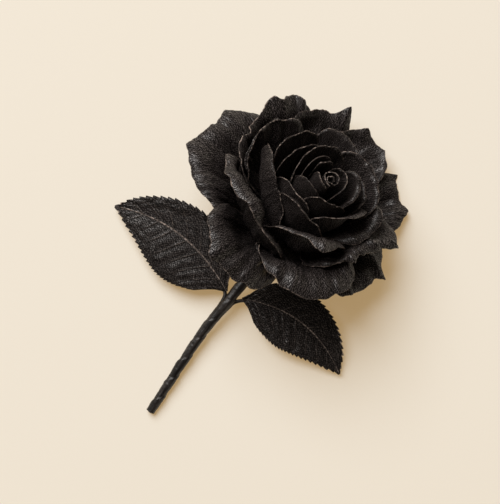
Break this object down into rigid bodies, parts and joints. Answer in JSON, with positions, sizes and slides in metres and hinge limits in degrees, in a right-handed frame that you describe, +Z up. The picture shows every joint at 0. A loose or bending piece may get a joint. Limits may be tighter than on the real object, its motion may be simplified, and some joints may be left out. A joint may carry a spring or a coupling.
{
  "type": "crepe paper rose",
  "caption": "Handmade black crepe paper rose with a layered bloom, wired serrated leaves and a tape-wrapped stem, lying on its side.",
  "frame": {"origin": "middle of the bounding box on the table that the rose lies on", "axes": "+Y along the stem from its cut end towards the bloom, +X to the right of the stem seen from above, +Z up from the table"},
  "size_m": [0.1175, 0.149, 0.0581],
  "materials": {
    "petal_paper": "matte crinkled crepe",
    "leaf_paper": "matte crepe",
    "tape": "waxed crepe tape",
    "wire": "cut steel wire"
  },
  "bodies": {
    "root": {"centre_roll": "petal_paper", "wrap_a": "petal_paper", "wrap_b": "petal_paper", "wrap_c": "petal_paper", "heart_left": "petal_paper", "heart_right": "petal_paper", "heart_top": "petal_paper", "inner_front": "petal_paper", "inner_top": "petal_paper", "inner_right": "petal_paper", "inner_left": "petal_paper", "mid_front": "petal_paper", "mid_back": "petal_paper", "mid_left": "petal_paper", "mid_right": "petal_paper", "mid_back_outer": "petal_paper", "low_right": "petal_paper", "tongue": "petal_paper", "mid_right_outer": "petal_paper", "low_front": "petal_paper", "back_left": "petal_paper", "guard_right_low": "petal_paper", "guard_right_top": "petal_paper", "guard_top_right": "petal_paper", "guard_right": "petal_paper", "guard_top": "petal_paper", "left_lip": "petal_paper", "guard_front": "petal_paper", "guard_front_right": "petal_paper", "guard_left_low": "petal_paper", "guard_left": "petal_paper", "calyx": "leaf_paper", "stem_wire": "wire", "stem_tape": "tape", "leaf_left": "leaf_paper", "leaf_left_wire": "tape", "leaf_right": "leaf_paper", "leaf_right_wire": "tape"}
  },
  "joints": []
}
